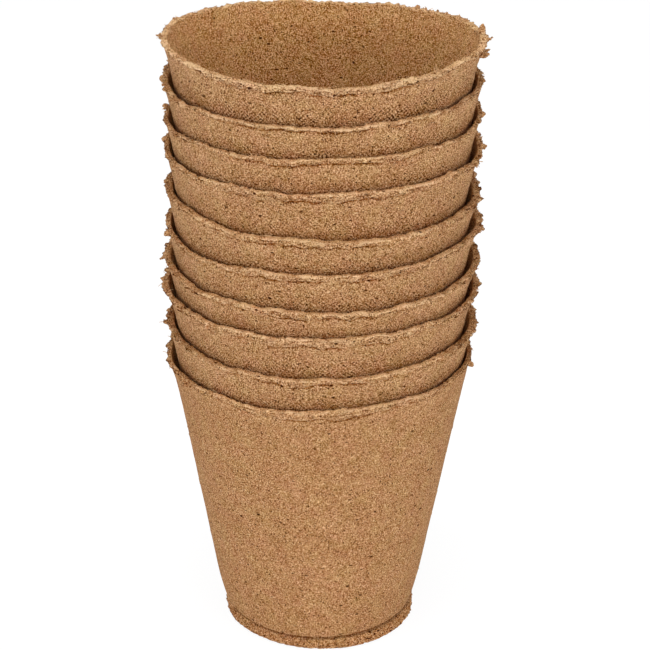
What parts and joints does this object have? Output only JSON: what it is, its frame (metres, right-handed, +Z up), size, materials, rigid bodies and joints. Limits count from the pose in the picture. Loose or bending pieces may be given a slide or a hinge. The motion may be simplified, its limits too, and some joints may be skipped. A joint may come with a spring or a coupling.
{
  "type": "nested stack of peat pots",
  "caption": "Stack of round tapered peat pots nested in one another, each with a ragged lip and a low foot ring; every pot lifts out to be filled and planted.",
  "frame": {"origin": "centre of the lowest pot's foot ring, on the surface that the stack stands on", "axes": "+Z up along the common axis of the pots; every pot is round about it"},
  "size_m": [0.0818, 0.0818, 0.1629],
  "materials": {
    "peat_fibre": "dry pressed peat and wood fibre, matt and rough, with pale fibres and dark specks"
  },
  "bodies": {
    "pot_01": {"pot_01": "peat_fibre"},
    "pot_02": {"pot_02": "peat_fibre"},
    "pot_03": {"pot_03": "peat_fibre"},
    "pot_04": {"pot_04": "peat_fibre"},
    "pot_05": {"pot_05": "peat_fibre"},
    "pot_06": {"pot_06": "peat_fibre"},
    "pot_07": {"pot_07": "peat_fibre"},
    "pot_08": {"pot_08": "peat_fibre"},
    "pot_09": {"pot_09": "peat_fibre"},
    "pot_10": {"pot_10": "peat_fibre"}
  },
  "joints": [
    {"name": "pot_02_lift", "type": "slide", "parent": "pot_01", "child": "pot_02", "axis": [0, 0, 1], "range_m": [0, 0.08]},
    {"name": "pot_03_lift", "type": "slide", "parent": "pot_02", "child": "pot_03", "axis": [0, 0, 1], "range_m": [0, 0.08]},
    {"name": "pot_04_lift", "type": "slide", "parent": "pot_03", "child": "pot_04", "axis": [0, 0, 1], "range_m": [0, 0.08]},
    {"name": "pot_05_lift", "type": "slide", "parent": "pot_04", "child": "pot_05", "axis": [0, 0, 1], "range_m": [0, 0.08]},
    {"name": "pot_06_lift", "type": "slide", "parent": "pot_05", "child": "pot_06", "axis": [0, 0, 1], "range_m": [0, 0.08]},
    {"name": "pot_07_lift", "type": "slide", "parent": "pot_06", "child": "pot_07", "axis": [0, 0, 1], "range_m": [0, 0.08]},
    {"name": "pot_08_lift", "type": "slide", "parent": "pot_07", "child": "pot_08", "axis": [0, 0, 1], "range_m": [0, 0.08]},
    {"name": "pot_09_lift", "type": "slide", "parent": "pot_08", "child": "pot_09", "axis": [0, 0, 1], "range_m": [0, 0.08]},
    {"name": "pot_10_lift", "type": "slide", "parent": "pot_09", "child": "pot_10", "axis": [0, 0, 1], "range_m": [0, 0.08]}
  ]
}
